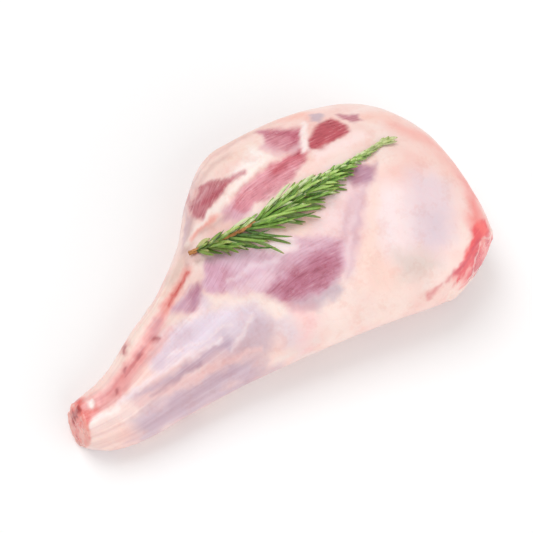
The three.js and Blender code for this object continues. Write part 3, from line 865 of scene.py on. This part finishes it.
def throughPoints(points, number):
    # smooth curve through the points, evenly spaced
    points = np.asarray(points, float)
    run = np.concatenate([[0], np.cumsum(np.linalg.norm(np.diff(points, axis=0), axis=1))])
    slope = np.gradient(points, run, axis=0)
    where = np.linspace(0, run[-1], number)
    i = np.clip(np.searchsorted(run, where) - 1, 0, len(run) - 2)
    gap = (run[i + 1] - run[i])[:, None]
    t = (where[:, None] - run[i][:, None]) / gap
    return ((2 * t**3 - 3 * t**2 + 1) * points[i] + (t**3 - 2 * t**2 + t) * gap * slope[i]
            + (3 * t**2 - 2 * t**3) * points[i + 1] + (t**3 - t**2) * gap * slope[i + 1])


legTree = BVHTree.FromPolygons([v.co for v in leg.data.vertices], [f.vertices for f in leg.data.polygons])


def meatHeight(x, y):
    hit = legTree.ray_cast(Vector((x * mm, y * mm, sprigSet["lookFrom"] * mm)), Vector((0, 0, -1)))[0]
    return hit.z / mm if hit else 0.0


def meatNormal(x, y):
    reach = sprigSet["leafLength"] / 2
    slopeX = (meatHeight(x + reach, y) - meatHeight(x - reach, y)) / (2 * reach)
    slopeY = (meatHeight(x, y + reach) - meatHeight(x, y - reach)) / (2 * reach)
    return unit(np.array([-slopeX, -slopeY, 1.0]))


def stemRadiusAt(share):
    first, last = sprigSet["stemRadius"]
    return first + (last - first) * share


def stemLine():
    plan = throughPoints(sprigSet["line"], sprigSet["stemSteps"])
    shares = np.linspace(0, 1, len(plan))
    heights = np.array([meatHeight(x, y) for x, y in plan])
    span = sprigSet["stemSmooth"]
    smooth = np.convolve(np.pad(heights, span // 2, mode="edge"), np.ones(span) / span, mode="valid")
    heights = np.maximum(heights, smooth) + stemRadiusAt(shares) + sprigSet["clearance"]
    return np.column_stack([plan, heights]), shares


def ringFrames(line, up):
    # directions across and above a line at each of its points
    ahead = np.gradient(line, axis=0)
    side = np.cross(up, ahead)
    lift = np.cross(ahead, side)
    return [d / np.linalg.norm(d, axis=1)[:, None] for d in (side, lift)]


def layAlong(points, rings, line, side, lift):
    # points of a straight piece, X as a share of its length, moved onto a line that has those rings
    ring = np.abs(points[:, :1] - rings).argmin(1)
    return line[ring] + points[:, 1:2] * side[ring] + points[:, 2:] * lift[ring]


def makeStem(line, shares):
    # a rod, cut into rings, then laid along the line with ridges and a knot at each whorl
    bpy.ops.object.select_all(action="DESELECT")
    bpy.ops.mesh.primitive_cylinder_add(vertices=sprigSet["stemSides"], radius=1, depth=1,
                                        location=(0.5, 0, 0), rotation=(0, math.pi / 2, 0))
    stem = bpy.context.object
    stem.name = "rosemary_stem"
    bpy.ops.object.transform_apply()
    bpy.ops.object.mode_set(mode="EDIT")
    bpy.ops.mesh.select_mode(type="EDGE")
    bpy.ops.mesh.select_all(action="DESELECT")
    bpy.ops.object.mode_set(mode="OBJECT")
    for edge in stem.data.edges:
        first, second = [stem.data.vertices[i].co.x for i in edge.vertices]
        edge.select = abs(first - second) > 0.5
    bpy.ops.object.mode_set(mode="EDIT")
    bpy.ops.mesh.subdivide(number_cuts=len(line) - 2)
    bpy.ops.object.mode_set(mode="OBJECT")
    rod = readPoints(stem)
    share, turn = rod[:, 0].copy(), np.arctan2(rod[:, 2], rod[:, 1])
    knot = sprigSet["knot"] * np.cos(2 * np.pi * sprigSet["whorls"] * share)
    ridge = sprigSet["ridge"]
    ridges = ridge["height"] * np.cos(ridge["number"] * turn + ridge["twist"] * share)
    rod[:, 1:] *= (stemRadiusAt(share) * (1 + knot + ridges))[:, None]
    writePoints(stem, layAlong(rod, shares, line, *ringFrames(line, (0, 0, 1))) * mm)
    paintPoints(stem, "stemRun", share)
    paintPoints(stem, "stemAround", np.sin(turn))
    return stem


def modelLeaf():
    # one straight leaf, drawn out ring by ring from its foot, then grooved above, ribbed and rolled below
    (at, wide), *rings = sprigSet["leafRings"]
    bpy.ops.object.select_all(action="DESELECT")
    bpy.ops.mesh.primitive_circle_add(vertices=sprigSet["leafSides"], radius=wide / 2, fill_type="NGON",
                                      rotation=(math.pi / 2, 0, math.pi / 2))
    leaf = bpy.context.object
    bpy.ops.object.transform_apply()
    bpy.ops.object.mode_set(mode="EDIT")
    bpy.ops.mesh.select_all(action="SELECT")
    for share, full in rings:
        bpy.ops.mesh.extrude_region_move(TRANSFORM_OT_translate={"value": (share - at, 0, 0)})
        bpy.ops.transform.resize(value=(1, full / wide, full / wide), center_override=(share, 0, 0))
        at, wide = share, full
    bpy.ops.mesh.select_all(action="SELECT")
    bpy.ops.mesh.normals_make_consistent(inside=False)
    bpy.ops.object.mode_set(mode="OBJECT")
    points = readPoints(leaf)
    full = np.interp(points[:, 0], *np.array(sprigSet["leafRings"]).T)
    across, above = 2 * points[:, 1] / full, 2 * points[:, 2] / full  # -1 to 1 round each ring
    form = sprigSet["leafForm"]
    groove = form["groove"] * np.exp(-(across / form["grooveWidth"]) ** 2)
    rib = form["rib"] * groove * (above < -0.5)
    points[:, 2] = full * np.where(above > 0, form["upper"] * above - groove, form["lower"] * above + rib)
    writePoints(leaf, points)
    paintPoints(leaf, "leafFace", above > -0.1)
    paintPoints(leaf, "leafRun", points[:, 0])
    return leaf


def leafPoints(leaf, root, ahead, up, length, tone):
    # the leaf's points bent along a line of its own that stays clear of the meat
    width, thickness = sprigSet["leafWidth"], sprigSet["leafThickness"]
    across = unit(np.cross(up, ahead))
    rings = np.array(sprigSet["leafRings"])[:, 0]
    bend = 4 * rings * (1 - rings) * length
    line = root + np.outer(rings * length, ahead) + np.outer(bend * sprigSet["arch"], up)
    line += np.outer(bend * (tone - 0.5) * sprigSet["sway"], across)
    for point in line:
        edges = [point + side * across * width / 2 for side in (-1, 0, 1)]
        floor = max(meatHeight(x, y) for x, y, _ in edges)
        point[2] = max(point[2], floor + thickness / 2 + sprigSet["clearance"])
    side, lift = ringFrames(line, up)
    twist = (math.radians(sprigSet["twist"]) * (2 * tone - 1) * rings)[:, None]
    turnedSide = side * np.cos(twist) + lift * np.sin(twist)
    turnedLift = lift * np.cos(twist) - side * np.sin(twist)
    return layAlong(leaf * (1, width, thickness), rings, line, turnedSide, turnedLift)


def grown(kind, share):
    # how far leaves shorten, close up or spread at this share of the stem
    first, last, most = sprigSet[kind]
    return 1 - most * fade(first, last, share)


def strayOf(kind, number):
    most, step = sprigSet["strays"][kind]
    return most * (number * step % 1 - 0.5)


def leafPlaces():
    # where on the stem each leaf grows, which way it points, how long it is and its tone
    first, last = sprigSet["whorlSpan"]
    for whorl in range(sprigSet["whorls"]):
        even = first + (last - first) * whorl / (sprigSet["whorls"] - 1)
        for place, (turn, lean, long, bareTo) in enumerate(sprigSet["whorl"]):
            if sprigSet["bareFrom"] < even < bareTo:
                continue
            number = whorl * len(sprigSet["whorl"]) + place
            share = min(max(even + strayOf("place", number), first), last)
            turn = math.radians(turn + strayOf("turn", number))
            lean *= grown("closed", share) * grown("tuft", share)
            lean = math.radians(lean * (1 + strayOf("lean", number)))
            length = sprigSet["leafLength"] * long * (1 + strayOf("length", number))
            length *= grown("young", share) * grown("low", share) * grown("tuft", share)
            yield share, turn, lean, length, number * sprigSet["toneStep"] % 1


def makeLeaves(line, shares):
    model = modelLeaf()
    straight = readPoints(model)
    ahead = np.gradient(line, axis=0)
    copies = []
    for share, turn, lean, length, tone in leafPlaces():
        root = np.array([np.interp(share, shares, line[:, i]) for i in range(3)])
        along = unit(np.array([np.interp(share, shares, ahead[:, i]) for i in range(3)]))
        up = meatNormal(root[0], root[1])
        side = unit(np.cross(up, along))
        outward = math.cos(turn) * up + math.sin(turn) * side
        leafAhead = math.cos(lean) * along + math.sin(lean) * outward
        leaf = model.copy()
        leaf.data = model.data.copy()
        scene.collection.objects.link(leaf)
        writePoints(leaf, leafPoints(straight, root, leafAhead, up, length, tone) * mm)
        tones = {"leafTone": tone, "leafYoung": fade(*sprigSet["youngTone"], share),
                 "leafNearCut": fade(*sprigSet["nearCutTone"], share),
                 "leafLowShade": fade(*sprigSet["lowShade"], math.cos(turn))}
        for name, value in tones.items():
            paintPoints(leaf, name, np.full(len(straight), value))
        copies.append(leaf)
    bpy.data.objects.remove(model)
    leaves = copies[0]
    selectOnly(leaves)
    for leaf in copies:
        leaf.select_set(True)
    bpy.ops.object.join()
    leaves.name = "rosemary_leaves"
    return leaves


def finishLeaves(leaves):
    tree, shader = newMaterial("rosemaryLeaf", leaves)
    speckle = useGroup(tree, mottle, Scale=260, Fine=4)
    run, low = painted(tree, "leafRun"), painted(tree, "leafLowShade")
    toneShift = count(tree, "ADD", painted(tree, "leafTone"), count(tree, "MULTIPLY", speckle, 0.3))
    green = ramp(tree, toneShift, [(0.1, "335914"), (0.4, "7ba83e"), (0.8, "b6d670"), (1.0, "e4eeba")])
    young = ramp(tree, speckle, [(0.0, "adba6c"), (1.0, "e0dcae")])
    felt = ramp(tree, speckle, [(0.0, "93a97c"), (1.0, "c4d0ae")])
    # painted shade at each leaf's foot, near the stem
    dark = ramp(tree, run, [(0.0, "223c10"), (0.4, "44702a")])
    colour = lay(tree, green, dark, remap(tree, run, 0.4, 0.0, 0.0, 0.85))
    # painted shade on the leaves that lie low round the stem
    colour = lay(tree, colour, shade("6f8a4e"), count(tree, "MULTIPLY", low, 0.75), "MULTIPLY")
    # leaves darker towards the cut end
    colour = lay(tree, colour, shade("e2d6b4"), painted(tree, "leafNearCut"), "MULTIPLY")
    colour = lay(tree, colour, young, count(tree, "MULTIPLY", painted(tree, "leafYoung"), 0.8))
    colour = lay(tree, colour, shade("a98f4e"), remap(tree, run, 0.9, 1.0, 0.0, 0.5))
    colour = lay(tree, felt, colour, painted(tree, "leafFace"))
    feed(tree, colour, shader.inputs["Base Color"])
    feed(tree, remap(tree, speckle, 0.0, 1.0, 0.3, 0.5), shader.inputs["Roughness"])
    shader.inputs["Subsurface Weight"].default_value = 0.06
    shader.inputs["Subsurface Scale"].default_value = 0.001
    bump = addNode(tree, "ShaderNodeBump", {"Height": speckle, "Strength": 0.2, "Distance": 0.0004})
    feed(tree, bump.outputs["Normal"], shader.inputs["Normal"])


def finishStem(stem):
    tree, shader = newMaterial("rosemaryStem", stem)
    run, around = painted(tree, "stemRun"), painted(tree, "stemAround")
    bark = useGroup(tree, threads, Along=run, Across=around, Scale=9, Draw=6)
    woody = ramp(tree, bark, [(0.3, "6e4423"), (0.5, "c27f42"), (0.7, "e0a96c")])
    soft = ramp(tree, bark, [(0.3, "7f9150"), (0.7, "b0bd7a")])
    colour = lay(tree, woody, soft, remap(tree, run, 0.45, 0.9))
    feed(tree, colour, shader.inputs["Base Color"])
    feed(tree, remap(tree, bark, 0.2, 0.8, 0.5, 0.75), shader.inputs["Roughness"])
    bump = addNode(tree, "ShaderNodeBump", {"Height": bark, "Strength": 0.5, "Distance": 0.0004})
    feed(tree, bump.outputs["Normal"], shader.inputs["Normal"])


line, shares = stemLine()
stem = makeStem(line, shares)
leaves = makeLeaves(line, shares)
for piece, finish in ((stem, finishStem), (leaves, finishLeaves)):
    selectOnly(piece)
    bpy.ops.object.shade_smooth()
    finish(piece)
    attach(piece, "root")
    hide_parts("rosemary_sprig")
print("rosemary made,", len(leaves.data.polygons) + len(stem.data.polygons), "faces")
